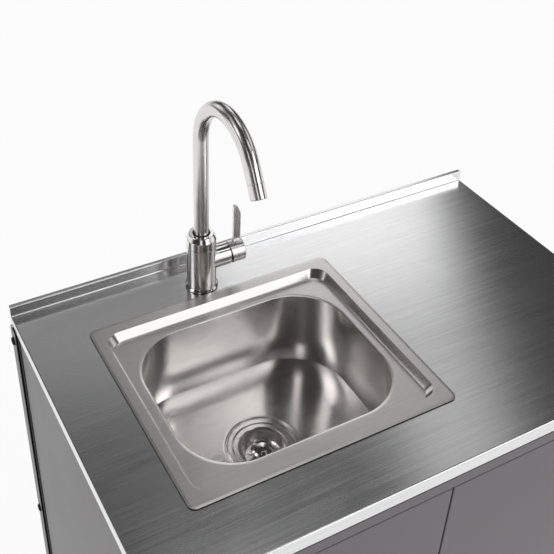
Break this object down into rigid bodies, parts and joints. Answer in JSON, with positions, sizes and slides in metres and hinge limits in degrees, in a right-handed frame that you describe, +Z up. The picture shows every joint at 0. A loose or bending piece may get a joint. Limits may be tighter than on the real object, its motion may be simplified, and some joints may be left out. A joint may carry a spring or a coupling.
{
  "type": "outdoor kitchen unit",
  "caption": "Free-standing outdoor kitchen cabinet with a steel worktop, a set-in sink with a strainer, a swivel mixer tap, hinged doors and levelling feet.",
  "frame": {"origin": "on the floor, under the middle of the unit's bounding box", "axes": "+Z up, the doors face -Y, +X is to the right seen from the front"},
  "size_m": [0.9108, 0.6, 1.2883],
  "materials": {
    "stainless_brushed": "brushed along the length, satin",
    "stainless_sink": "fine satin",
    "tap_steel": "fine brushed, almost bright",
    "bright_steel": "polished",
    "warm_grey_paint": "satin powder coat",
    "black_paint": "matt powder coat",
    "black_rubber": "matt",
    "white_plastic": "matt moulded",
    "black_plastic": "matt moulded",
    "zinc_steel": "zinc plated"
  },
  "bodies": {
    "cabinet": {"worktop": "stainless_brushed", "worktop_stiffeners": "stainless_brushed", "front_rail_top": "warm_grey_paint", "front_rail_bottom": "warm_grey_paint", "rear_rail_top": "black_paint", "rear_rail_bottom": "black_paint", "side_rail_left": "black_paint", "side_rail_right": "black_paint", "post_front_left": "black_paint", "post_front_right": "black_paint", "post_rear_left": "black_paint", "post_rear_right": "black_paint", "side_panel_left": "warm_grey_paint", "side_panel_right": "warm_grey_paint", "back_panel": "warm_grey_paint", "bottom_panel": "warm_grey_paint", "panel_screws": "black_paint", "hinge_pins": "bright_steel", "door_bumpers": "black_rubber", "magnetic_catches": "black_plastic", "sink": "stainless_sink", "sink_seal": "black_rubber", "sink_clips": "zinc_steel", "sink_clip_screws": "zinc_steel", "strainer_body": "stainless_sink", "drain_seal": "black_rubber", "drain_nut": "zinc_steel", "tailpiece": "white_plastic", "tail_nut": "white_plastic", "trap_body": "white_plastic", "trap_cup": "white_plastic", "trap_nuts": "white_plastic", "waste_pipe": "white_plastic", "tap_seal": "black_rubber", "tap_base": "tap_steel", "tap_body": "tap_steel", "tap_collar": "tap_steel", "spout_bush": "black_plastic", "tap_cartridge": "white_plastic", "tap_shank": "zinc_steel", "tap_clamp_plate": "zinc_steel", "tap_nut": "zinc_steel"},
    "swivel_spout": {"spout": "tap_steel", "spout_nozzle": "tap_steel"},
    "mixer_rotor": {"mixer_rotor": "bright_steel"},
    "mixer_lever": {"mixer_lever": "tap_steel"},
    "strainer": {"strainer_basket": "stainless_sink", "strainer_knob": "bright_steel"},
    "door_left": {"door_left_skin": "warm_grey_paint", "door_left_liner": "warm_grey_paint", "door_left_bushes": "black_plastic", "door_left_handle": "stainless_brushed"},
    "door_right": {"door_right_skin": "warm_grey_paint", "door_right_liner": "warm_grey_paint", "door_right_bushes": "black_plastic", "door_right_handle": "stainless_brushed"},
    "foot_front_left": {"foot_front_left": "black_plastic"},
    "foot_front_right": {"foot_front_right": "black_plastic"},
    "foot_rear_left": {"foot_rear_left": "black_plastic"},
    "foot_rear_right": {"foot_rear_right": "black_plastic"}
  },
  "joints": [
    {"name": "spout_swivel", "type": "hinge", "parent": "cabinet", "child": "swivel_spout", "pos_m": [-0.1445, 0.231, 1.01], "axis": [0, 0, 1], "continuous": true},
    {"name": "mixer_turn", "type": "hinge", "parent": "cabinet", "child": "mixer_rotor", "pos_m": [-0.0985, 0.231, 0.962], "axis": [1, 0, 0], "range_deg": [-45, 45]},
    {"name": "lever_tilt", "type": "hinge", "parent": "mixer_rotor", "child": "mixer_lever", "pos_m": [-0.093, 0.231, 0.962], "axis": [0, 1, 0], "range_deg": [0, 16]},
    {"name": "strainer_lift", "type": "slide", "parent": "cabinet", "child": "strainer", "axis": [0, 0, 1], "range_m": [0, 0.05]},
    {"name": "door_left_hinge", "type": "hinge", "parent": "cabinet", "child": "door_left", "pos_m": [-0.439, -0.256, 0.461], "axis": [0, 0, -1], "range_deg": [0, 110]},
    {"name": "door_right_hinge", "type": "hinge", "parent": "cabinet", "child": "door_right", "pos_m": [0.439, -0.256, 0.461], "axis": [0, 0, 1], "range_deg": [0, 110]},
    {"name": "foot_front_left_level", "type": "slide", "parent": "cabinet", "child": "foot_front_left", "axis": [0, 0, -1], "range_m": [0, 0.02]},
    {"name": "foot_front_right_level", "type": "slide", "parent": "cabinet", "child": "foot_front_right", "axis": [0, 0, -1], "range_m": [0, 0.02]},
    {"name": "foot_rear_left_level", "type": "slide", "parent": "cabinet", "child": "foot_rear_left", "axis": [0, 0, -1], "range_m": [0, 0.02]},
    {"name": "foot_rear_right_level", "type": "slide", "parent": "cabinet", "child": "foot_rear_right", "axis": [0, 0, -1], "range_m": [0, 0.02]}
  ]
}
